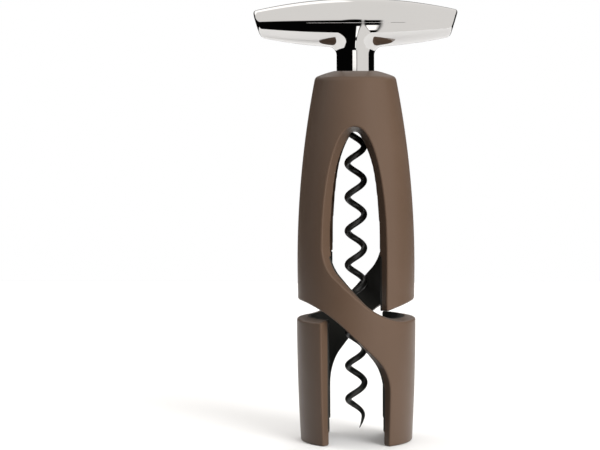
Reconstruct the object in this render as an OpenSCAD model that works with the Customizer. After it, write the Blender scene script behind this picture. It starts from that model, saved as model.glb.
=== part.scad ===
// Self-pulling corkscrew with a T handle: a hollow barrel whose two legs twist past each other,
// and a handle and worm that turn and slide in a sleeve at its top.
// Millimetres. +Z is up, Z = 0 is the plane that the feet stand on, and the worm lies on the Z axis.

/* [Barrel] */
// Largest radius of the upper barrel
barrel_r = 22.55; // [22.2:0.05:24]
// Height of that largest radius
barrel_z = 68; // [64:1:74]
// Radius of the barrel's long lengthwise curve
barrel_curve_r = 365; // [330:5:500]
// Largest radius of the feet
foot_r = 22.9; // [22.4:0.1:24]
// Height of the shoulder, where the dome begins
shoulder_z = 139.8; // [138:0.2:142]
// Height of the dome's top
dome_z = 143.3; // [143:0.1:144.5]
// Radius inside the liners, around a bottle's neck
bore_r = 17.3; // [16.8:0.1:17.4]
// Thickness of the shell above the liners
shell_t = 5.4; // [5.2:0.1:5.8]
// Thickness of the black liners
liner_t = 1.2; // [1:0.1:1.4]

/* [Openings] */
// Half angle of each upper window, seen from the axis
window_half = 33.2; // [32:0.2:34]
// Half angle of each lower window
foot_half = 35.6; // [35:0.2:36.4]
// Angle by which the lower windows are turned from the upper ones
foot_turn = 1.7; // [1:0.1:2.5]
// Height at which the arch of the upper window begins
arch_z = 76.5; // [75.5:0.5:77.5]
// Rise of that arch
arch_h = 45.2; // [44:0.2:46]
// Height of the slot's floor between the upper and the lower legs
slot_floor_z = 47.4; // [46.8:0.2:47.6]
// Height of the slot's roof at the sides
slot_roof_z = 54.8; // [54.6:0.1:55.4]
// Height at which a foot's edge begins to curve into the band
foot_curve_z = 20.2; // [19:0.2:21]

/* [Handle] */
// Length of the handle along its top
handle_l = 78.6; // [74:0.2:84]
// Radius of the handle at its middle
handle_r = 9.3; // [9:0.1:9.6]
// Radius of the handle's lengthwise curve
handle_curve_r = 170; // [160:5:220]
// Height of the handle's axis
handle_z = 160.7; // [160:0.1:162]
// Lean of the handle's end faces, in degrees
handle_end_lean = 16; // [10:1:20]
// Radius of the neck below the handle
neck_r = 7.2; // [7:0.05:7.3]

/* [Worm] */
// Height gained in one turn
worm_pitch = 13.05; // [12:0.05:14]
// Radius of the wire's centre line
worm_r = 3.2; // [2.9:0.05:3.3]
// Radius of the wire
wire_r = 1.2; // [1:0.05:1.25]
// Height of the point above the feet
tip_z = 4.8; // [4:0.2:8]

/* [Hidden] */
$fn = 96;
eps = 0.01;

brown = "#6b5a4d";
black = "#1c1c1c";
steel = "#b8b8bc";
chrome = "#dcdcde";

// Barrel and bore outlines
foot_z = 48;            // height of the feet's largest radius
foot_curve_r = 850;     // radius of the feet's lengthwise curve
blend_z0 = 46;          // the feet's curve turns into the barrel's between these heights
blend_z1 = 58;
edge_r = 0.9;           // rounding at the feet and the shoulder
foot_chamfer = 0.5;     // on the shell's inner edge under the feet
dome_curve_r = 36;      // radius of the dome over the shoulder
vault_z = 104;          // the bore closes in a vault from this height
vault_h = 20;           // the vault's full height, of which the crown's bore takes the top
vault_end_z = 117;
crown_bore_r = 10.5;    // bore for the sleeve, up through the crown
lip_z = 139.3;          // underside of the crown's lip
lip_r = 7.6;            // hole that the neck passes
recess_r = bore_r + liner_t;    // recess that the liners lie in, flush with the wall above
recess_z = 72;          // top of that recess
ledge_r = 18;           // ledge under the liners, at the foot of the recess
ledge_z = 5.8;
profile_step = 6;       // spacing of the points along the two outlines
vault_step = 2.6;       // and up the vault

// Openings, drawn on a cylinder of this radius
flat_r = 22.5;
deg_per_mm = 180 / (PI * flat_r);
window_w = window_half / deg_per_mm;
foot_w = (foot_half + foot_turn) / deg_per_mm;
arch_power = 2.3;       // 2 would be an ellipse
arch_fall = 0.28;       // the arch's face falls by this much for each millimetre inwards
floor_fall = -0.2;      // the slot's floor rises inwards
roof_fall = 0.12;       // and its roof falls
roof_drop = 2.3;        // fall of the slot's roof towards the front
roof_span = 50;         // over this many degrees from the side
top_slope = 41;         // slope of the band's upper edge, in degrees
top_in_r = 16;          // its curve where it leaves the window's side
top_out_r = 29;         // and where it flattens into the slot's floor
low_slope = 44;         // slope of the band's lower edge
low_in_r = 35;          // its curve where it leaves the slot's roof
low_out_r = 18;         // and where it turns down the foot's edge
cut_in_r = 9.5;         // the cutters of the window under the crown reach from here
slot_in_r = 15;         // and those of the slot and the feet from here
cut_out_r = 34;         // to here
below_z = -6;

// Crown parts, from the bottom up
circlip_z = 122.1;
circlip_t = 1;
sleeve_z = 123.2;
sleeve_floor_t = 3;
washer_t = 0.8;
sleeve_bore_r = 7.3;
worm_hole_r = 4.85;     // hole that guides the worm
neck_z = sleeve_z + sleeve_floor_t + washer_t + 0.02;
ring_z = neck_z + 2.2;  // wear ring on the neck
ring_h = 1.8;
groove_r = 6.3;
socket_r = 4.6;         // blind socket in the neck
socket_z = 142;
hub_z = 132.2;
shank_r = 1.3;          // hole in the hub for the worm's shank
shank_z = 136;          // top of that shank
pin_r = 1;
pin_z = 138.4;

// Bottle stops
stop_z = 45.5;
stop_h = 3;
stop_in_r = 13;
stop_angle = 22;

// Worm
worm_left_z = 106.9;    // height at which the wire crosses the -X side
coil_top_z = 126;       // above this the coil runs in to the axis
coil_end_z = 131;
taper_z = 16;           // below this the wire thins to its point
steep_z = 9;            // below this the wire runs more steeply down
steepness = 0.5;
wire_sides = 8;
steps_per_turn = 16;

function smooth(t) = let (c = min(1, max(0, t))) c * c * (3 - 2 * c);
function mix(a, b, t) = a + (b - a) * t;
function upper_radius(z) = barrel_r - pow(z - barrel_z, 2) / (2 * barrel_curve_r);
function lower_radius(z) = foot_r - pow(z - foot_z, 2) / (2 * foot_curve_r);
function outer_radius(z) =
    mix(lower_radius(z), upper_radius(z), smooth((z - blend_z0) / (blend_z1 - blend_z0)));
function wall_radius(z) =
    min(bore_r, outer_radius(z) - shell_t) * sqrt(1 - pow(max(0, z - vault_z) / vault_h, 2));
shoulder_r = outer_radius(shoulder_z);
function dome_height(r) = dome_z - r * r / (2 * dome_curve_r);

// Heights of the band's two edges and of the arch, by angle round the axis
function top_edge_points() =
    let (
        turn = 90 - top_slope,
        line_u = -window_w + top_in_r * (1 - cos(turn)),
        line_z = arch_z - top_in_r * sin(turn),
        bend_z = slot_floor_z + top_out_r * (1 - cos(top_slope)),
        bend_u = line_u + (line_z - bend_z) / tan(top_slope),
        centre = [bend_u + top_out_r * sin(top_slope), slot_floor_z + top_out_r]
    )
    concat(
        [for (t = [0:5:turn]) [-window_w + top_in_r * (1 - cos(t)), arch_z - top_in_r * sin(t)]],
        [for (t = [top_slope:-5:0]) centre - top_out_r * [sin(t), cos(t)]],
        [[centre[0], slot_floor_z], [200, slot_floor_z]]
    );
function low_edge_points() =
    let (
        turn = 90 - low_slope,
        foot = [foot_w - low_out_r, foot_curve_z],
        line = foot + low_out_r * [cos(turn), sin(turn)],
        bend_z = slot_roof_z - low_in_r * (1 - cos(low_slope)),
        bend_u = line[0] - (bend_z - line[1]) / tan(low_slope),
        centre = [bend_u - low_in_r * sin(low_slope), slot_roof_z - low_in_r]
    )
    concat(
        [[-200, slot_roof_z]],
        [for (t = [0:5:low_slope]) centre + low_in_r * [sin(t), cos(t)]],
        [for (t = [turn:-5:0]) foot + low_out_r * [cos(t), sin(t)]],
        [[foot_w, foot_curve_z]]
    );
top_edge = top_edge_points();
low_edge = low_edge_points();
function roof_z(deg) = slot_roof_z - roof_drop * pow(max(0, 90 - deg) / roof_span, 2);
function band_top_z(deg) = lookup(deg / deg_per_mm, top_edge);
function band_low_z(deg) = lookup(deg / deg_per_mm, low_edge);
function arch_top_z(deg) =
    let (t = min(1, abs(deg) / window_half))
    arch_z + arch_h * pow(1 - pow(t, arch_power), 1 / arch_power);
function arch_slope(deg) = arch_fall * pow((arch_top_z(deg) - arch_z) / arch_h, 3);
function slot_station(deg, roof) = [deg, band_top_z(deg), roof, floor_fall, roof_fall, slot_in_r];

// One opening runs from the front window, round the right side, to the window between the feet at
// the back. Each station is an angle, the heights of the opening's lower and upper side there, the
// fall of each side for a millimetre inwards, and the radius from which it is cut.
sweep = [for (a = [0:9:81]) cos(a)];
half_turns = concat([for (c = sweep) -c], [0], [for (i = [len(sweep) - 1:-1:0]) sweep[i]]);
foot_start = 180 + foot_turn - foot_half;
opening_stations = concat(
    [
        for (c = half_turns)
            let (d = c * window_half, z = band_top_z(d), top = max(arch_top_z(d), z + eps))
            [d, z, top, floor_fall * min(1, (top - z) / 8), arch_slope(d), cut_in_r]
    ],
    [for (d = [window_half + eps:6:90]) slot_station(d, roof_z(d))],
    [for (d = [90:6:foot_start - 1]) slot_station(d, band_low_z(d - 180))],
    [slot_station(foot_start - eps, band_low_z(foot_start - 180))],
    [
        for (c = half_turns)
            let (d = c * foot_half + foot_turn)
            [180 + d, below_z, band_low_z(d), 0, roof_fall, slot_in_r]
    ]
);

// A solid that follows such stations round the axis
module ribbon(stations) {
    function corner(s, r, z, fall) = [r * sin(s[0]), -r * cos(s[0]), z + fall * (r - outer_radius(z))];
    function low(s, r) = corner(s, r, s[1], s[3]);
    function high(s, r) = corner(s, r, s[2], s[4]);
    n = len(stations);
    points = [
        for (s = stations)
            each [low(s, s[5]), low(s, cut_out_r), high(s, cut_out_r), high(s, s[5])]
    ];
    sides = [
        for (i = [0:n - 2], k = [0:3])
            let (a = 4 * i + k, b = 4 * i + (k + 1) % 4)
            each [[a, b, b + 4], [a, b + 4, a + 4]]
    ];
    last = 4 * (n - 1);
    ends = [[0, 2, 1], [0, 3, 2], [last, last + 1, last + 2], [last, last + 2, last + 3]];
    polyhedron(points, concat(sides, ends));
}

module openings() {
    ribbon(opening_stations);
    rotate(180) ribbon(opening_stations);
}

// The solid of the barrel without its openings
module barrel() {
    outer = concat(
        [[outer_radius(0) - edge_r, 0], [outer_radius(0) - edge_r * 0.3, edge_r * 0.3]],
        [for (z = [edge_r:profile_step:shoulder_z - edge_r]) [outer_radius(z), z]],
        [[shoulder_r, shoulder_z - edge_r * 0.4], [shoulder_r - edge_r * 0.7, dome_height(shoulder_r)]],
        [for (r = [13:-2:9]) [r, dome_height(r)]],
        [[lip_r, dome_height(lip_r)]]
    );
    inner = concat(
        [[lip_r, lip_z], [crown_bore_r, lip_z], [crown_bore_r, vault_end_z]],
        [for (z = [vault_end_z:-vault_step:vault_z]) [wall_radius(z), z]],
        [for (z = [vault_z - profile_step:-profile_step:recess_z]) [wall_radius(z), z]],
        [[wall_radius(recess_z), recess_z], [recess_r, recess_z], [recess_r, ledge_z]],
        [[ledge_r, ledge_z], [ledge_r, foot_chamfer], [ledge_r + foot_chamfer, 0]]
    );
    rotate_extrude() polygon(concat(outer, inner));
}

peg_r = 1.2;
peg_l = 1.6;
peg_places = [[-90, 64], [-125, 64], [90, 38], [90, 12]];

module pegs(gap) {
    for (p = peg_places)
        rotate(p[0]) translate([0, -recess_r + liner_t / 2, p[1]]) rotate([90, 0, 0])
            cylinder(r = peg_r + gap, h = peg_l + liner_t / 2 + gap);
}

module outer_shell() {
    color(brown) difference() {
        barrel();
        openings();
        translate([0, 0, circlip_z - 0.05]) cylinder(r = crown_bore_r + 0.8, h = circlip_t + 0.1);
        pegs(0.02);
        rotate(180) pegs(0.02);
    }
}

// One leg's share of the wall, up to the top of the recess, between the mid lines of the openings
leg_stations = [
    [-180, 75, 80], [-150, 60, 80], [-144, 50.5, 80], [-33, 50.5, 80], [-31, 10, 80],
    [-eps, 10, 80], [0, 10, 65], [32, below_z, 50.5], [150, below_z, 50.5],
];
leg_steps = [
    for (i = [0:len(leg_stations) - 2])
        let (a = leg_stations[i], b = leg_stations[i + 1], n = max(1, ceil((b[0] - a[0]) / 12)))
        for (k = [0:n - 1]) concat(mix(a, b, k / n), [0, 0, slot_in_r])
];

liner_gap = 0.03;

module leg_liner() {
    intersection() {
        union() {
            difference() {
                translate([0, 0, ledge_z + liner_gap]) cylinder(
                    r = recess_r - liner_gap, h = recess_z - ledge_z - 2 * liner_gap);
                cylinder(r = bore_r, h = 2 * recess_z);
                openings();
            }
            pegs(0);
        }
        ribbon(leg_steps);
    }
}

module leg_liner_a() {
    color(black) leg_liner();
}

module leg_liner_b() {
    color(black) rotate(180) leg_liner();
}

// Soft block that rests on the bottle's mouth
module stop_pad() {
    wall = bore_r - liner_gap;
    color(black) rotate(-90 - stop_angle / 2) rotate_extrude(angle = stop_angle)
        translate([stop_in_r, stop_z]) square([wall - stop_in_r, stop_h]);
}

module stop_pad_front() {
    stop_pad();
}

module stop_pad_rear() {
    rotate(180) stop_pad();
}

module guide_sleeve() {
    top = lip_z - 0.05;
    color(black) difference() {
        translate([0, 0, sleeve_z]) cylinder(r = crown_bore_r - 0.02, h = top - sleeve_z);
        translate([0, 0, sleeve_z + sleeve_floor_t]) cylinder(r = sleeve_bore_r, h = 30);
        translate([0, 0, sleeve_z - 1]) cylinder(r = worm_hole_r, h = sleeve_floor_t + 2);
        for (a = [0:60:300])
            rotate(a) translate([crown_bore_r, 0, sleeve_z + 3]) cylinder(r = 1.1, h = 20);
    }
}

module sleeve_circlip() {
    color(steel) translate([0, 0, circlip_z]) difference() {
        cylinder(r = crown_bore_r + 0.75, h = circlip_t);
        translate([0, 0, -1]) cylinder(r = crown_bore_r - 1.7, h = circlip_t + 2);
        translate([0, 0, -1]) linear_extrude(circlip_t + 2)
            polygon([[0, 0], [20, -7], [20, 7]]);
    }
}

module thrust_washer() {
    color(steel) translate([0, 0, sleeve_z + sleeve_floor_t]) difference() {
        cylinder(r = sleeve_bore_r - 0.1, h = washer_t);
        translate([0, 0, -1]) cylinder(r = worm_hole_r + 0.05, h = washer_t + 2);
    }
}

// Rides in the neck's groove and rubs on the sleeve
module wear_ring() {
    color(black) translate([0, 0, ring_z + 0.05]) difference() {
        cylinder(r = sleeve_bore_r - 0.03, h = ring_h - 0.1);
        translate([0, 0, -1]) cylinder(r = groove_r + 0.05, h = ring_h + 2);
    }
}

module spindle() {
    half = handle_l / 2;
    step = 5;
    n = ceil(half / step);
    xs = [for (i = [-n:n]) half * i / n];
    profile = [for (x = xs) [handle_r - x * x / (2 * handle_curve_r), x]];
    translate([0, 0, handle_z]) rotate([0, 90, 0]) difference() {
        rotate_extrude() polygon(concat([[0, -half]], profile, [[0, half]]));
        end_cut(1);
        end_cut(-1);
    }
}

// Takes the slanted slice off one end of the spindle, which lies along Z here with its top at -X
module end_cut(side) {
    end_r = handle_r - pow(handle_l / 2, 2) / (2 * handle_curve_r);
    translate([-end_r, 0, side * handle_l / 2]) rotate([0, side * handle_end_lean, 0])
        translate([-10, -15, side > 0 ? 0 : -10]) cube([40, 30, 10]);
}

module handle() {
    color(chrome) difference() {
        union() {
            spindle();
            translate([0, 0, neck_z]) cylinder(r = neck_r, h = handle_z - neck_z);
        }
        translate([0, 0, neck_z - 1]) cylinder(r = socket_r, h = socket_z - neck_z + 1);
        translate([0, 0, ring_z]) difference() {
            cylinder(r = neck_r + 1, h = ring_h);
            translate([0, 0, -1]) cylinder(r = groove_r, h = ring_h + 2);
        }
        translate([0, 0, pin_z]) rotate([0, 90, 0])
            cylinder(r = pin_r + 0.01, h = 30, center = true);
    }
}

module worm_hub() {
    color(steel) difference() {
        translate([0, 0, hub_z]) cylinder(r = socket_r - 0.01, h = socket_z - hub_z);
        translate([0, 0, hub_z - 1]) cylinder(r = shank_r, h = shank_z - hub_z + 1);
        translate([0, 0, pin_z]) rotate([0, 90, 0])
            cylinder(r = pin_r + 0.01, h = 30, center = true);
    }
}

module hub_pin() {
    color(steel) translate([0, 0, pin_z]) rotate([0, 90, 0])
        cylinder(r = pin_r, h = 2 * neck_r - 0.8, center = true);
}

function coil_radius(z) = worm_r * (1 - smooth((z - coil_top_z) / (coil_end_z - coil_top_z)));
function coil_angle(z) =
    180 + 360 * (max(z, steep_z) - worm_left_z) / worm_pitch
    - 360 * steepness * max(0, steep_z - z) / worm_pitch;
function tip_shrink(z) = 1 - 0.25 * smooth((taper_z - z) / (taper_z - tip_z));
function coil_point(z) =
    let (r = coil_radius(z) * tip_shrink(z), a = coil_angle(z)) [r * cos(a), r * sin(a), z];
function wire_radius(z) = mix(wire_r, 0.15, pow(min(1, max(0, (taper_z - z) / (taper_z - tip_z))), 1.6));
function unit(v) = v / norm(v);

module worm() {
    count = ceil((shank_z - tip_z) / worm_pitch * steps_per_turn);
    heights = [for (i = [0:count]) mix(tip_z, shank_z, i / count)];
    rings = [
        for (z = heights)
            let (
                along = unit(coil_point(z + 0.05) - coil_point(z - 0.05)),
                a = coil_angle(z),
                out = [cos(a), sin(a), 0],
                side = unit(cross(along, out)),
                up = cross(side, along)
            )
            [
                for (k = [0:wire_sides - 1])
                    coil_point(z) + wire_radius(z)
                        * (up * cos(360 * k / wire_sides) + side * sin(360 * k / wire_sides))
            ]
    ];
    n = wire_sides;
    points = [for (ring = rings) each ring];
    sides = [
        for (i = [0:count - 1], k = [0:n - 1])
            let (a = i * n + k, b = i * n + (k + 1) % n)
            each [[a, b + n, b], [a, a + n, b + n]]
    ];
    caps = [[for (k = [0:n - 1]) k], [for (k = [n - 1:-1:0]) count * n + k]];
    color(black) polyhedron(points, concat(sides, caps));
}

outer_shell();
leg_liner_a();
leg_liner_b();
stop_pad_front();
stop_pad_rear();
guide_sleeve();
sleeve_circlip();
thrust_washer();
wear_ring();
handle();
worm_hub();
hub_pin();
worm();
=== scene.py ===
"""A self-pulling corkscrew: soft-touch barrel with two twisting legs, chrome T handle, black worm.

Lengths named in capitals are millimetres; Blender's objects are in metres.
"""

import math

import bpy
import numpy as np
from mathutils import Matrix, Vector


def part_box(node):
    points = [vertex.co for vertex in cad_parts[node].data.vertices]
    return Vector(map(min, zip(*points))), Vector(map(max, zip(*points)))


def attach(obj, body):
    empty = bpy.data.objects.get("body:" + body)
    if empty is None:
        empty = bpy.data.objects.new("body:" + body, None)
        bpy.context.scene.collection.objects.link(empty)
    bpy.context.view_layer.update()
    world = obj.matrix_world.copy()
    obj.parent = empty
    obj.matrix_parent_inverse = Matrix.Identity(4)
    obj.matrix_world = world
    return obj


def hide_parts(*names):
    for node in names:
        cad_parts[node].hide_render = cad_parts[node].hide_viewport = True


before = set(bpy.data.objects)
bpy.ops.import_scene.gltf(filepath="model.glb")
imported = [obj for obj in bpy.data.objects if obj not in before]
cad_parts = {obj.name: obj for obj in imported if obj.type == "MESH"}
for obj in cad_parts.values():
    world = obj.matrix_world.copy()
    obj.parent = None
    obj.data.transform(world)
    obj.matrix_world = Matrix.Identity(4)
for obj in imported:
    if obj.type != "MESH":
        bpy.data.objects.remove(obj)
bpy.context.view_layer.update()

MM = 0.001

# Barrel and bore
BARREL_R, BARREL_Z, BARREL_CURVE = 22.55, 68.0, 365.0
FOOT_R, FOOT_Z, FOOT_CURVE = 22.88, 48.0, 850.0
BLEND_LOW, BLEND_HIGH = 46.0, 58.0
DOME_Z, DOME_CURVE = 143.3, 36.0
BORE_R, SHELL_T, VAULT_Z, VAULT_H = 17.3, 5.4, 104.0, 20.0
CROWN_BORE_R, LIP_Z, LIP_R = 10.5, 139.3, 7.6
RECESS_R, RECESS_Z, LEDGE_R, LEDGE_Z, LINER_GAP = 18.5, 72.0, 18.0, 5.8, 0.03

# Openings, drawn on a cylinder of radius FLAT_R as (arc length, height)
FLAT_R = 22.5
HALF_TURN = math.pi * FLAT_R
WINDOW_HALF, FOOT_HALF, FOOT_TURN = 33.2, 35.6, 1.7     # degrees
WINDOW_W = math.radians(WINDOW_HALF) * FLAT_R
FOOT_LEFT = math.radians(180 + FOOT_TURN - FOOT_HALF) * FLAT_R
FOOT_RIGHT = math.radians(FOOT_TURN + FOOT_HALF) * FLAT_R
ARCH_Z, ARCH_H, ARCH_POWER = 76.5, 45.2, 2.3
TOP_SLOPE, TOP_IN_R, TOP_OUT_R, SLOT_FLOOR = math.radians(41), 16.0, 29.0, 47.4
LOW_SLOPE, LOW_IN_R, LOW_OUT_R, SLOT_ROOF = math.radians(44), 35.0, 18.0, 54.8
FOOT_CURVE_Z, ROOF_DROP, ROOF_SPAN = 20.2, 2.3, math.radians(50) * FLAT_R
CORNER_R = 0.6

# Rise or fall of an opening's faces for each millimetre inwards
ARCH_FALL, FLOOR_RISE, ROOF_FALL = 0.28, 0.2, 0.12

# Edge roundings, and how far the liners stand back from the openings
DOME_EDGE, FOOT_EDGE, CUT_EDGE, BORE_EDGE = 0.9, 0.7, 0.6, 0.3
LINER_EDGE, LINER_RIM, LINER_SETBACK = 0.2, 0.15, 0.12
STOP_IN_R, STOP_EDGE = 13.0, 0.7

# Handle
HANDLE_Z, HANDLE_R, HANDLE_CURVE, HANDLE_HALF, HANDLE_LEAN = 160.7, 9.29, 170.0, 39.3, math.radians(17)
NECK_R, NECK_LOW, FILLET_R = 7.2, 127.02, 3.2
GROOVE_R, GROOVE_LOW, GROOVE_H = 6.3, 129.22, 1.8
SOCKET_R, SOCKET_TOP, PIN_R, PIN_Z = 4.6, 142.0, 1.01, 138.4
HANDLE_EDGE, NECK_EDGE, GROOVE_EDGE = 1.3, 0.4, 0.15

# Worm
PITCH, COIL_R, WIRE_R, LEFT_Z = 13.05, 3.2, 1.2, 106.9
TIP_Z, SHANK_TOP, COIL_TOP, COIL_END = 4.8, 136.0, 126.0, 131.0
TAPER_Z, STEEP_Z, STEEPNESS = 16.0, 9.0, 0.5
POINT_R, POINT_SHRINK, POINT_POWER = 0.12, 0.25, 1.6


# ---------------------------------------------------------------- fields: millimetres, negative inside
def smooth(t):
    t = np.clip(t, 0, 1)
    return t * t * (3 - 2 * t)


def meet(a, b, r):
    """What lies in both a and b, with its edge rounded to r."""
    return np.minimum(-r, np.maximum(a, b)) + np.hypot(np.maximum(a + r, 0), np.maximum(b + r, 0))


def join(a, b, r):
    """What lies in a or b, with a fillet of r between them."""
    return np.maximum(r, np.minimum(a, b)) - np.hypot(np.maximum(r - a, 0), np.maximum(r - b, 0))


def outer_radius(z):
    upper = BARREL_R - (z - BARREL_Z) ** 2 / (2 * BARREL_CURVE)
    lower = FOOT_R - (z - FOOT_Z) ** 2 / (2 * FOOT_CURVE)
    return lower + (upper - lower) * smooth((z - BLEND_LOW) / (BLEND_HIGH - BLEND_LOW))


def wall_radius(z):
    vault = np.clip((z - VAULT_Z) / VAULT_H, 0, 1)
    upper = np.minimum(BORE_R, outer_radius(z) - SHELL_T) * np.sqrt(1 - vault**2)
    return np.maximum(upper, CROWN_BORE_R)


def beyond(r, radius, z):
    """Distance outside a surface of revolution whose radius is a function of z."""
    step = 0.1
    slope = (radius(z + step) - radius(z - step)) / (2 * step)
    return (r - radius(z)) / np.sqrt(1 + slope**2)


def arc(centre, r, start, end, count=14):
    """Points on an arc, by angles in degrees from the right, anticlockwise."""
    t = np.radians(np.linspace(start, end, count))
    return np.stack([centre[0] + r * np.cos(t), centre[1] + r * np.sin(t)], 1)


def opening_outline(depth):
    """One opening, at a depth below the barrel's surface: the front window, the slot round the right
    side, and the window between the feet at the back."""
    rise, fall = np.array([0, FLOOR_RISE * depth]), np.array([0, -ROOF_FALL * depth])
    top_deg, low_deg = math.degrees(TOP_SLOPE), math.degrees(LOW_SLOPE)
    window_arc = arc((TOP_IN_R - WINDOW_W, ARCH_Z), TOP_IN_R, 180, 270 - top_deg)
    line = window_arc[-1]
    bend_z = SLOT_FLOOR + TOP_OUT_R * (1 - math.cos(TOP_SLOPE))
    bend_u = line[0] + (line[1] - bend_z) / math.tan(TOP_SLOPE) + TOP_OUT_R * math.sin(TOP_SLOPE)
    floor_arc = arc((bend_u, SLOT_FLOOR + TOP_OUT_R), TOP_OUT_R, 270 - top_deg, 270)
    floor_corner = arc((FOOT_LEFT - CORNER_R, SLOT_FLOOR - CORNER_R), CORNER_R, 90, 0, 6)

    far = HALF_TURN + FOOT_RIGHT
    foot_arc = arc((far - LOW_OUT_R, FOOT_CURVE_Z), LOW_OUT_R, 0, 90 - low_deg)
    line = foot_arc[-1]
    bend_z = SLOT_ROOF - LOW_IN_R * (1 - math.cos(LOW_SLOPE))
    bend_u = line[0] - (bend_z - line[1]) / math.tan(LOW_SLOPE) - LOW_IN_R * math.sin(LOW_SLOPE)
    roof_arc = arc((bend_u, SLOT_ROOF - LOW_IN_R), LOW_IN_R, 90 - low_deg, 90)

    t = np.linspace(0, 1, 14)
    side = HALF_TURN / 2
    roof = np.stack([side + (WINDOW_W + CORNER_R - side) * t, 0 * t], 1)
    roof[:, 1] = SLOT_ROOF - ROOF_DROP * ((side - roof[:, 0]) / ROOF_SPAN) ** 2
    roof_corner = arc((WINDOW_W + CORNER_R, roof[-1, 1] + CORNER_R), CORNER_R, 270, 180, 6)
    t = np.radians(np.linspace(0, 180, 60))
    power = 2 / ARCH_POWER
    up = np.sin(t) ** power
    arch = np.stack([
        WINDOW_W * np.sign(np.cos(t)) * np.abs(np.cos(t)) ** power,
        ARCH_Z + ARCH_H * up - ARCH_FALL * depth * up**3,
    ], 1)
    floor = np.concatenate([window_arc, floor_arc, floor_corner]) + rise
    below = np.array([[FOOT_LEFT, -9.0], [far, -9.0]])
    ceiling = np.concatenate([foot_arc, roof_arc, roof, roof_corner]) + fall
    return np.concatenate([floor, below, ceiling, arch[:-2]])


def outline_distance(u, z, outline):
    """Signed distance from a closed outline, negative inside it."""
    nearest = np.full(u.shape, 1e9)
    inside = np.zeros(u.shape, bool)
    for (u0, z0), (u1, z1) in zip(outline, np.roll(outline, -1, axis=0)):
        du, dz = u1 - u0, z1 - z0
        length = du * du + dz * dz
        if length < 1e-12:
            continue
        t = np.clip(((u - u0) * du + (z - z0) * dz) / length, 0, 1)
        nearest = np.minimum(nearest, (u - u0 - t * du) ** 2 + (z - z0 - t * dz) ** 2)
        if dz:
            inside ^= ((z0 > z) != (z1 > z)) & (u < u0 + (z - z0) * du / dz)
    return np.where(inside, -1, 1) * np.sqrt(nearest)


class OpeningMap:
    """Distance from the nearer of the two openings at one depth, from a grid over half a turn."""

    STEP = 0.16
    LOW, HIGH = -8.0, 132.0

    def __init__(self, depth):
        self.columns = round(HALF_TURN / self.STEP)
        u = np.arange(self.columns + 1) * HALF_TURN / self.columns
        z = np.arange(self.LOW, self.HIGH, self.STEP)
        u, z = np.meshgrid(u, z, indexing="ij")
        outline = opening_outline(depth)
        self.grid = np.minimum(outline_distance(u, z, outline), outline_distance(u + HALF_TURN, z, outline))
        self.grid = np.minimum(self.grid, outline_distance(u - HALF_TURN, z, outline))

    def __call__(self, angle, z):
        column = np.mod(angle, math.pi) / math.pi * self.columns
        row = np.clip((z - self.LOW) / self.STEP, 0, self.grid.shape[1] - 1.001)
        i = np.minimum(column.astype(int), self.columns - 1)
        j = row.astype(int)
        s, t = column - i, row - j
        g = self.grid
        near = g[i, j] * (1 - t) + g[i, j + 1] * t
        far = g[i + 1, j] * (1 - t) + g[i + 1, j + 1] * t
        return near * (1 - s) + far * s


WALL = 5.0      # depth of the second map, between which and the surface the distance is blended
outside_map, inside_map = OpeningMap(0), OpeningMap(WALL)


def cut(x, y, z):
    """Distance from the openings, negative in the wall that they leave."""
    angle = np.arctan2(x, -y)
    near, deep = outside_map(angle, z), inside_map(angle, z)
    return -near - (deep - near) * (outer_radius(z) - np.hypot(x, y)) / WALL


def shell_field(x, y, z):
    r = np.hypot(x, y)
    dome = (z - (DOME_Z - r * r / (2 * DOME_CURVE))) / np.sqrt(1 + (r / DOME_CURVE) ** 2)
    hull = meet(meet(beyond(r, outer_radius, z), dome, DOME_EDGE), -z, FOOT_EDGE)
    hull = meet(hull, cut(x, y, z), CUT_EDGE)
    bore = np.maximum(np.maximum(beyond(r, wall_radius, z), z - LIP_Z), LEDGE_Z - z)
    recess = np.maximum(r - RECESS_R, np.maximum(LEDGE_Z - z, z - RECESS_Z))
    ends = np.minimum(r - LIP_R, np.maximum(r - LEDGE_R, z - RECESS_Z))
    return meet(hull, -np.minimum(np.minimum(bore, recess), ends), BORE_EDGE)


def liner_field(x, y, z):
    r = np.hypot(x, y)
    ends = np.maximum(LEDGE_Z - z, z - RECESS_Z) + LINER_GAP
    sheet = meet(r - RECESS_R + LINER_GAP, ends, LINER_RIM)
    sheet = meet(sheet, cut(x, y, z) + LINER_SETBACK, LINER_EDGE)
    return meet(sheet, BORE_R - r, LINER_EDGE)


def handle_field(x, y, z):
    radius = HANDLE_R - x * x / (2 * HANDLE_CURVE)
    across = np.hypot(y, z - HANDLE_Z)
    bar = (across - radius) / np.sqrt(1 + (x / HANDLE_CURVE) ** 2)
    top = HANDLE_Z + HANDLE_R - HANDLE_HALF**2 / (2 * HANDLE_CURVE)
    ends = (np.abs(x) - HANDLE_HALF) * math.cos(HANDLE_LEAN) - (z - top) * math.sin(HANDLE_LEAN)
    bar = meet(bar, ends, HANDLE_EDGE)
    r = np.hypot(x, y)
    neck = np.maximum(r - NECK_R, z - HANDLE_Z)
    body = join(bar, neck, FILLET_R)
    body = meet(body, NECK_LOW - z, NECK_EDGE)
    groove = np.maximum(GROOVE_R - r, np.abs(z - GROOVE_LOW - GROOVE_H / 2) - GROOVE_H / 2)
    socket = np.maximum(r - SOCKET_R, z - SOCKET_TOP)
    pin_hole = np.hypot(y, z - PIN_Z) - PIN_R
    for hollow in (groove, socket, pin_hole):
        body = meet(body, -hollow, GROOVE_EDGE)
    return body


def stop_pad_field(x, y, z, low, high):
    """The second value of low and high is a radius."""
    r = np.hypot(x, y)
    sides = np.abs(x) - high[0] * r / high[1]
    block = meet(meet(r - high[1], low[1] - r, STOP_EDGE), sides, STOP_EDGE)
    return meet(block, np.maximum(z - high[2], low[2] - z), STOP_EDGE)


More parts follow.
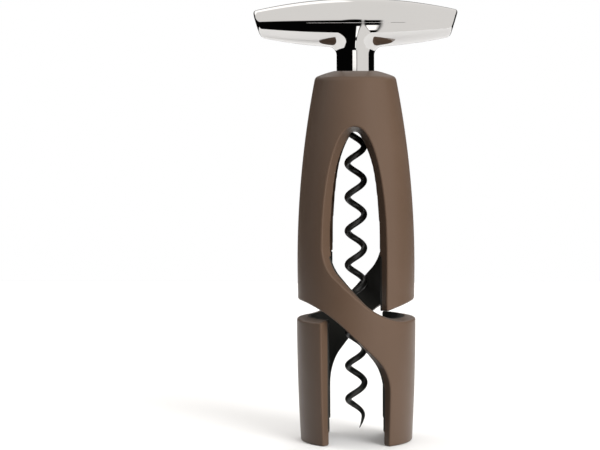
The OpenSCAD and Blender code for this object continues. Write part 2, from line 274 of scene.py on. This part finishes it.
# ---------------------------------------------------------------- meshes
def gradient(field, p, h=0.08):
    out = np.empty_like(p)
    for axis in range(3):
        step = np.zeros(3)
        step[axis] = h
        out[:, axis] = field(*(p + step).T) - field(*(p - step).T)
    return out / (2 * h)


def onto_surface(field, p, rounds=3):
    for _ in range(rounds):
        slope = gradient(field, p)
        size = np.maximum((slope**2).sum(1), 0.05)
        move = -(field(*p.T) / size)[:, None] * slope
        p = p + np.clip(move, -0.4, 0.4)
    return p


def net(field, axes, place, wraps=False):
    """Quads round the surface of a field, one vertex in each grid cell that the surface crosses.
    axes are three evenly spaced arrays, and place turns them into x, y, z."""
    values = field(*place(*np.meshgrid(*axes, indexing="ij")))
    if wraps:
        values = np.concatenate([values, values[:1]])
    cells = np.array(values.shape) - 1
    total = np.zeros((*cells, 3))
    count = np.zeros(cells)
    corners = []
    for axis in range(3):
        low = np.take(values, range(values.shape[axis] - 1), axis)
        high = np.take(values, range(1, values.shape[axis]), axis)
        start = np.argwhere((low < 0) != (high < 0))
        a, b = low[tuple(start.T)], high[tuple(start.T)]
        point = start.astype(float)
        point[:, axis] += a / (a - b)
        others = [o for o in range(3) if o != axis]
        if wraps and axis:
            keep = start[:, 0] < cells[0]
            start, point = start[keep], point[keep]
        ring = []
        for back in ((0, 0), (1, 0), (1, 1), (0, 1)):
            cell, where = start.copy(), point.copy()
            cell[:, others] -= back
            if wraps:
                behind = cell[:, 0] < 0
                cell[behind, 0] += cells[0]
                where[behind, 0] += cells[0]
            inside = ((cell >= 0) & (cell < cells)).all(1)
            np.add.at(total, tuple(cell[inside].T), where[inside])
            np.add.at(count, tuple(cell[inside].T), 1)
            ring.append(np.where(inside, cell @ [cells[1] * cells[2], cells[2], 1], -1))
        corners.append(np.stack(ring, 1))
    used = count.ravel() > 0
    number = np.cumsum(used) - 1
    where = total.reshape(-1, 3)[used] / count.ravel()[used, None]
    points = np.stack(place(*[a[0] + where[:, i] * (a[1] - a[0]) for i, a in enumerate(axes)]), 1)
    quads = np.concatenate(corners)
    quads = number[quads[(quads >= 0).all(1)]]
    points = relaxed(field, points, quads)
    across = np.cross(points[quads[:, 2]] - points[quads[:, 0]], points[quads[:, 3]] - points[quads[:, 1]])
    out = gradient(field, points[quads].mean(1))
    wrong = (across * out).sum(1) < 0
    quads[wrong] = quads[wrong][:, ::-1]
    return points, quads


def relaxed(field, points, quads, rounds=3):
    """Evens out the vertices along the surface."""
    pairs = np.concatenate([quads[:, [i, (i + 1) % 4]] for i in range(4)])
    links = np.bincount(pairs.ravel(), minlength=len(points))[:, None]
    points = onto_surface(field, points)
    for _ in range(rounds):
        total = np.zeros_like(points)
        np.add.at(total, pairs[:, 0], points[pairs[:, 1]])
        np.add.at(total, pairs[:, 1], points[pairs[:, 0]])
        points = onto_surface(field, (points + total / links) / 2, 2)
    return points


def polar(angle, r, z):
    return r * np.sin(angle), -r * np.cos(angle), z


def flat(x, y, z):
    return x, y, z


def mesh_object(name, points, faces, normals=None):
    mesh = bpy.data.meshes.new(name)
    mesh.from_pydata((points * MM).tolist(), [], faces.tolist())
    mesh.shade_smooth()
    if normals is not None:
        normals = normals / np.linalg.norm(normals, axis=1)[:, None]
        mesh.normals_split_custom_set_from_vertices(normals.tolist())
    obj = bpy.data.objects.new(name, mesh)
    bpy.context.collection.objects.link(obj)
    return obj


def field_object(name, field, axes, place=flat, wraps=False):
    points, quads = net(field, axes, place, wraps)
    return mesh_object(name, points, quads, gradient(field, points))


def around(count):
    return np.arange(count) * 2 * math.pi / count


def make_shell():
    axes = around(220), np.arange(7.0, 24.2, 0.36), np.arange(-0.7, 144.0, 0.66)
    return field_object("barrel_shell", shell_field, axes, polar, wraps=True)


def make_liners():
    """Both liners come from one field. They don't touch, so they part as loose pieces."""
    axes = around(200), np.arange(16.8, 19.1, 0.26), np.arange(5.0, 73.0, 0.6)
    both = field_object("liner", liner_field, axes, polar, wraps=True)
    bpy.ops.object.select_all(action="DESELECT")
    both.select_set(True)
    bpy.context.view_layer.objects.active = both
    bpy.ops.object.mode_set(mode="EDIT")
    bpy.ops.mesh.separate(type="LOOSE")
    bpy.ops.object.mode_set(mode="OBJECT")
    parts = sorted(bpy.context.selected_objects, key=lambda o: -len(o.data.vertices))
    for scrap in parts[2:]:
        bpy.data.objects.remove(scrap)
    top_x = [max(o.data.vertices, key=lambda v: v.co.z).co.x for o in parts[:2]]
    ordered = parts[:2] if top_x[0] < top_x[1] else parts[1::-1]
    for obj, name in zip(ordered, ("leg_liner_left", "leg_liner_right")):
        obj.name = name
    return ordered


def make_handle():
    axes = np.arange(-40.2, 40.4, 0.5), np.arange(-10.1, 10.3, 0.5), np.arange(126.3, 171.0, 0.5)
    return field_object("chrome_handle", handle_field, axes)


def make_stop_pad(node, turn):
    low, high = (np.array(c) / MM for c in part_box("stop_pad_front"))
    low[1], high[1] = STOP_IN_R, BORE_R - LINER_GAP
    field = lambda x, y, z: stop_pad_field(x, y, z, low, high)
    axes = (
        np.arange(high[0] * -1.1, high[0] * 1.1, 0.28),
        np.arange(-17.8, -12.0, 0.28),
        np.arange(low[2] - 0.5, high[2] + 0.6, 0.28),
    )
    obj = field_object(node + "_rubber", field, axes)
    obj.data.transform(Matrix.Rotation(turn, 4, "Z"))
    return obj


def coil_point(z):
    taper = 1 - POINT_SHRINK * smooth((TAPER_Z - z) / (TAPER_Z - TIP_Z))
    r = COIL_R * taper * (1 - smooth((z - COIL_TOP) / (COIL_END - COIL_TOP)))
    turns = (np.maximum(z, STEEP_Z) - LEFT_Z - STEEPNESS * np.maximum(0, STEEP_Z - z)) / PITCH
    angle = math.pi + 2 * math.pi * turns
    return np.stack([r * np.cos(angle), r * np.sin(angle), z], -1), angle


def make_worm():
    per_turn, sides = 56, 20
    count = int((SHANK_TOP - TIP_Z) / PITCH * per_turn)
    z = np.linspace(TIP_Z, SHANK_TOP, count)
    centre, angle = coil_point(z)
    along = coil_point(z + 0.02)[0] - coil_point(z - 0.02)[0]
    along /= np.linalg.norm(along, axis=1)[:, None]
    out = np.stack([np.cos(angle), np.sin(angle), 0 * angle], 1)
    side = np.cross(along, out)
    side /= np.linalg.norm(side, axis=1)[:, None]
    up = np.cross(side, along)
    thin = np.clip((TAPER_Z - z) / (TAPER_Z - TIP_Z), 0, 1) ** POINT_POWER
    radius = WIRE_R + (POINT_R - WIRE_R) * thin
    t = around(sides)
    ring = up[:, None] * np.cos(t)[None, :, None] + side[:, None] * np.sin(t)[None, :, None]
    points = (centre[:, None] + radius[:, None, None] * ring).reshape(-1, 3)
    i = np.arange(count - 1)[:, None] * sides
    k = np.arange(sides)[None, :]
    after = (k + 1) % sides
    quads = np.stack([i + k, i + sides + k, i + sides + after, i + after], -1).reshape(-1, 4)
    faces = quads.tolist() + [list(range(sides)), list(range((count - 1) * sides, count * sides))[::-1]]
    mesh = bpy.data.meshes.new("worm_coil")
    mesh.from_pydata((points * MM).tolist(), [], faces)
    mesh.shade_smooth()
    obj = bpy.data.objects.new("worm_coil", mesh)
    bpy.context.collection.objects.link(obj)
    return obj


# ---------------------------------------------------------------- materials
class Look:
    """A Principled material whose nodes are added by short calls."""

    def __init__(self, name, color, roughness, metallic=0.0, specular=0.5):
        self.material = bpy.data.materials.new(name)
        self.material.use_nodes = True
        self.nodes = self.material.node_tree.nodes
        self.links = self.material.node_tree.links
        self.shader = self.nodes["Principled BSDF"]
        self.set("Base Color", (*color, 1))
        self.set("Roughness", roughness)
        self.set("Metallic", metallic)
        self.set("Specular IOR Level", specular)
        self.place = self.nodes.new("ShaderNodeTexCoord").outputs["Object"]

    def set(self, socket, value):
        self.shader.inputs[socket].default_value = value

    def noise(self, grain, detail=3.0, stretch=(1, 1, 1)):
        """Noise whose cells are about grain metres across."""
        mapping = self.nodes.new("ShaderNodeMapping")
        mapping.inputs["Scale"].default_value = stretch
        self.links.new(self.place, mapping.inputs["Vector"])
        noise = self.nodes.new("ShaderNodeTexNoise")
        noise.inputs["Scale"].default_value = 1 / grain
        noise.inputs["Detail"].default_value = detail
        self.links.new(mapping.outputs["Vector"], noise.inputs["Vector"])
        return noise.outputs["Fac"]

    def vary_color(self, factor, low, high):
        ramp = self.nodes.new("ShaderNodeValToRGB")
        ramp.color_ramp.elements[0].position = 0.3
        ramp.color_ramp.elements[1].position = 0.7
        ramp.color_ramp.elements[0].color = (*low, 1)
        ramp.color_ramp.elements[1].color = (*high, 1)
        self.links.new(factor, ramp.inputs["Fac"])
        self.links.new(ramp.outputs["Color"], self.shader.inputs["Base Color"])

    def vary_roughness(self, factor, low, high):
        spread = self.nodes.new("ShaderNodeMapRange")
        spread.inputs["From Min"].default_value = 0.3
        spread.inputs["From Max"].default_value = 0.7
        spread.inputs["To Min"].default_value = low
        spread.inputs["To Max"].default_value = high
        self.links.new(factor, spread.inputs["Value"])
        self.links.new(spread.outputs["Result"], self.shader.inputs["Roughness"])

    def bump(self, factor, depth, strength=1.0):
        bump = self.nodes.new("ShaderNodeBump")
        bump.inputs["Distance"].default_value = depth
        bump.inputs["Strength"].default_value = strength
        self.links.new(factor, bump.inputs["Height"])
        self.links.new(bump.outputs["Normal"], self.shader.inputs["Normal"])


def soft_touch():
    look = Look("soft_touch_brown", (0.057, 0.035, 0.023), 0.4, specular=0.3)
    look.vary_color(look.noise(0.02, 4), (0.055, 0.034, 0.022), (0.059, 0.0365, 0.024))
    look.vary_roughness(look.noise(0.006, 5), 0.37, 0.43)
    look.bump(look.noise(0.00028, 2), 0.00001, 0.6)
    look.set("Sheen Weight", 0.06)
    look.set("Sheen Roughness", 0.45)
    look.set("Sheen Tint", (0.8, 0.75, 0.7, 1))
    return look.material


def liner_black():
    look = Look("liner_black", (0.012, 0.012, 0.011), 0.42, specular=0.45)
    look.vary_color(look.noise(0.01, 4), (0.010, 0.010, 0.009), (0.015, 0.015, 0.013))
    look.vary_roughness(look.noise(0.004, 4), 0.36, 0.5)
    look.bump(look.noise(0.0003, 2), 0.00001, 0.6)
    return look.material


def polished_chrome():
    look = Look("polished_chrome", (0.6, 0.595, 0.59), 0.03, metallic=1.0)
    look.vary_roughness(look.noise(0.012, 5), 0.015, 0.045)
    look.vary_color(look.noise(0.03, 3), (0.59, 0.585, 0.58), (0.61, 0.605, 0.6))
    look.bump(look.noise(0.004, 2), 0.000002, 0.2)
    return look.material


def worm_coating():
    look = Look("worm_coating", (0.008, 0.008, 0.008), 0.34, specular=0.5)
    look.vary_color(look.noise(0.003, 4), (0.006, 0.006, 0.006), (0.012, 0.012, 0.011))
    look.vary_roughness(look.noise(0.0012, 4), 0.26, 0.44)
    look.bump(look.noise(0.0002, 3), 0.000012, 0.6)
    return look.material


def acetal():
    look = Look("black_acetal", (0.014, 0.014, 0.014), 0.3, specular=0.5)
    look.vary_color(look.noise(0.008, 3), (0.012, 0.012, 0.012), (0.017, 0.017, 0.017))
    look.vary_roughness(look.noise(0.002, 4, (1, 1, 6)), 0.24, 0.38)
    look.bump(look.noise(0.0004, 2, (1, 1, 8)), 0.000008, 0.5)
    return look.material


def rubber():
    look = Look("stop_rubber", (0.014, 0.014, 0.014), 0.75, specular=0.35)
    look.vary_color(look.noise(0.004, 4), (0.012, 0.012, 0.012), (0.02, 0.02, 0.019))
    look.vary_roughness(look.noise(0.001, 4), 0.68, 0.84)
    look.bump(look.noise(0.00025, 3), 0.00003, 0.8)
    return look.material


def filled_ptfe():
    look = Look("filled_ptfe", (0.03, 0.029, 0.027), 0.45, specular=0.4)
    look.vary_color(look.noise(0.0005, 5), (0.02, 0.019, 0.018), (0.05, 0.048, 0.044))
    look.vary_roughness(look.noise(0.001, 4), 0.38, 0.52)
    look.bump(look.noise(0.0002, 2, (1, 1, 6)), 0.000008, 0.5)
    return look.material


def turned_steel():
    look = Look("turned_steel", (0.52, 0.52, 0.53), 0.28, metallic=1.0)
    look.vary_color(look.noise(0.003, 4), (0.47, 0.47, 0.48), (0.57, 0.57, 0.58))
    look.vary_roughness(look.noise(0.0006, 4, (1, 1, 10)), 0.2, 0.38)
    look.bump(look.noise(0.0002, 2, (1, 1, 12)), 0.000006, 0.5)
    return look.material


def finish_piece(obj, material, body, slot, *nodes):
    obj.data.materials.clear()
    obj.data.materials.append(material)
    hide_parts(*nodes)
    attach(obj, body)


def dress_node(node, material, bevel):
    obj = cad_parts[node]
    for material_slot in obj.material_slots:
        material_slot.material = material
    if bevel:
        edge = obj.modifiers.new("edge", "BEVEL")
        edge.width = bevel * MM
        edge.segments = 2
        edge.limit_method = "ANGLE"
        edge.angle_limit = math.radians(40)


# ---------------------------------------------------------------- camera, light and floor
VIEW_TURN, VIEW_DOWN, VIEW_ROLL = 3.2, 4.25, -0.28     # degrees; the turn is towards +X
VIEW_PLACE = (-0.0215, -0.83, 0.145)                   # metres, before the turn
SENSOR, LENS = 36, 129.7

# What the chrome mirrors: the strength of the soft panels and of the bright streaks
PANEL, BRIGHT, DARK = 1.07, 1.9, 0.002

# Azimuth from the front towards +X, elevation, spread and strength
SUNS = {
    "key": (41, 10, 35, 6.7),
    "fill": (-75, 0, 50, 0.5),
    "rim": (-118, 5, 40, 1.7),
    "back": (165, 20, 40, 1.6),
}


def add_camera():
    """Eye level with the dome, a little to the side, turned down to the middle of the barrel."""
    data = bpy.data.cameras.new("camera")
    data.sensor_width = SENSOR
    data.lens = LENS
    camera = bpy.data.objects.new("camera", data)
    bpy.context.collection.objects.link(camera)
    stand = Matrix.Rotation(math.radians(VIEW_TURN), 4, "Z") @ Matrix.Translation(VIEW_PLACE)
    tilt = Matrix.Rotation(math.radians(90 - VIEW_DOWN), 4, "X")
    roll = Matrix.Rotation(math.radians(VIEW_ROLL), 4, "Z")
    camera.matrix_world = stand @ tilt @ roll
    bpy.context.scene.camera = camera


class Room:
    """World nodes that place soft boxes of light in a dark room. Directions are in degrees: azimuth
    from the front of the object towards +X, and elevation above the horizon."""

    def __init__(self, tree):
        self.tree = tree
        place = tree.nodes.new("ShaderNodeTexCoord").outputs["Generated"]
        split = tree.nodes.new("ShaderNodeSeparateXYZ")
        tree.links.new(place, split.inputs[0])
        x, y, z = split.outputs
        turn = self.calc("ARCTAN2", x, self.calc("MULTIPLY", y, -1.0))
        self.azimuth = self.calc("MULTIPLY", turn, 180 / math.pi)
        self.elevation = self.calc("MULTIPLY", self.calc("ARCSINE", z), 180 / math.pi)
        self.light = None

    def calc(self, operation, *inputs):
        node = self.tree.nodes.new("ShaderNodeMath")
        node.operation = operation
        for socket, value in zip(node.inputs, inputs):
            if isinstance(value, (int, float)):
                socket.default_value = value
            else:
                self.tree.links.new(value, socket)
        return node.outputs[0]

    def edge(self, value, low, high):
        node = self.tree.nodes.new("ShaderNodeMapRange")
        node.interpolation_type = "SMOOTHSTEP"
        node.inputs["From Min"].default_value = low
        node.inputs["From Max"].default_value = high
        self.tree.links.new(value, node.inputs["Value"])
        return node.outputs["Result"]

    def span(self, value, low, high, soft):
        return self.calc("MULTIPLY", self.edge(value, low - soft, low + soft),
                         self.edge(value, high + soft, high - soft))

    def box(self, azimuths, elevations, strength, soft=1.5):
        across = self.span(self.azimuth, *azimuths, soft)
        up = self.span(self.elevation, *elevations, soft)
        shape = self.calc("MULTIPLY", self.calc("MULTIPLY", across, up), strength)
        self.light = shape if self.light is None else self.calc("MAXIMUM", self.light, shape)

    def keep_out(self, azimuths, elevations, soft):
        """Darkens a box of directions again."""
        across = self.span(self.azimuth, *azimuths, soft)
        up = self.span(self.elevation, *elevations, soft)
        rest = self.calc("SUBTRACT", 1.0, self.calc("MULTIPLY", across, up))
        self.light = self.calc("MULTIPLY", self.light, rest)


def add_world():
    """The chrome mirrors this room. What the camera sees directly is a white backdrop."""
    world = bpy.data.worlds.new("studio")
    bpy.context.scene.world = world
    world.use_nodes = True
    tree = world.node_tree
    tree.nodes.clear()

    room = Room(tree)
    # The upper front, the ceiling all round, and a bright panel behind on the left
    room.box((-97, 97), (12, 40), PANEL, 2)
    room.box((-200, 200), (24, 100), PANEL, 2)
    room.box((-177, -97), (36, 64), BRIGHT, 4)
    # A tall panel on the right, and the dark line beside the neck's white streak
    room.box((6, 90), (-50, 14), PANEL, 0.8)
    room.keep_out((4, 12.5), (-0.5, 0.9), 0.3)
    # The neck's white streak, and the white spot at the end of the bar's black band
    room.box((-15, 8.5), (-0.2, 0.5), BRIGHT, 0.15)
    room.box((1.2, 5), (-36, -12), BRIGHT, 0.8)

    mirrored = tree.nodes.new("ShaderNodeBackground")
    tree.links.new(room.calc("ADD", room.light, DARK), mirrored.inputs["Strength"])
    mirrored.inputs["Color"].default_value = (1, 0.975, 0.945, 1)
    white = tree.nodes.new("ShaderNodeBackground")
    white.inputs["Color"].default_value = (1, 1, 1, 1)
    mix = tree.nodes.new("ShaderNodeMixShader")
    tree.links.new(tree.nodes.new("ShaderNodeLightPath").outputs["Is Camera Ray"], mix.inputs["Fac"])
    tree.links.new(mirrored.outputs[0], mix.inputs[1])
    tree.links.new(white.outputs[0], mix.inputs[2])
    output = tree.nodes.new("ShaderNodeOutputWorld")
    tree.links.new(mix.outputs[0], output.inputs["Surface"])


def add_sun(name, azimuth, elevation, spread, strength):
    """Soft light without falloff, from a direction in degrees. The chrome doesn't mirror it."""
    data = bpy.data.lights.new(name, "SUN")
    data.energy = strength
    data.angle = math.radians(spread)
    light = bpy.data.objects.new(name, data)
    bpy.context.collection.objects.link(light)
    turn, rise = math.radians(azimuth), math.radians(elevation)
    towards = Vector((math.sin(turn) * math.cos(rise), -math.cos(turn) * math.cos(rise), math.sin(rise)))
    light.rotation_euler = towards.to_track_quat("Z", "Y").to_euler()
    light.visible_glossy = False


def add_floor():
    """A white sheet that ends a little in front of the object, so the chrome mirrors the dark room."""
    mesh = bpy.data.meshes.new("floor")
    left, right, front, back = -0.3, 0.3, -0.15, 0.6
    corners = [(left, front, 0), (right, front, 0), (right, back, 0), (left, back, 0)]
    mesh.from_pydata(corners, [], [(0, 1, 2, 3)])
    floor = bpy.data.objects.new("floor", mesh)
    bpy.context.collection.objects.link(floor)
    look = Look("floor_white", (0.74, 0.74, 0.74), 0.9, specular=0.1)
    look.vary_color(look.noise(0.4, 2), (0.73, 0.73, 0.73), (0.75, 0.75, 0.75))
    mesh.materials.append(look.material)
    floor.visible_diffuse = False


# ---------------------------------------------------------------- the object
finish_piece(make_shell(), soft_touch(), "frame", "shell", "outer_shell")
liner = liner_black()
for piece, node in zip(make_liners(), ("leg_liner_a", "leg_liner_b")):
    finish_piece(piece, liner, "frame", "liner", node)
pad_rubber = rubber()
for node, turn in (("stop_pad_front", 0.0), ("stop_pad_rear", math.pi)):
    finish_piece(make_stop_pad(node, turn), pad_rubber, "frame", "stop_rubber", node)
finish_piece(make_handle(), polished_chrome(), "handle", "handle_chrome", "handle")
finish_piece(make_worm(), worm_coating(), "handle", "worm_coat", "worm")

steel = turned_steel()
dress_node("guide_sleeve", acetal(), 0.2)
dress_node("wear_ring", filled_ptfe(), 0.1)
for node, bevel in (("sleeve_circlip", 0.12), ("thrust_washer", 0.1), ("worm_hub", 0.2), ("hub_pin", 0.2)):
    dress_node(node, steel, bevel)

add_camera()
add_world()
add_floor()
for sun, settings in SUNS.items():
    add_sun(sun, *settings)

scene = bpy.context.scene
scene.view_settings.view_transform = "Standard"
scene.view_settings.look = "None"
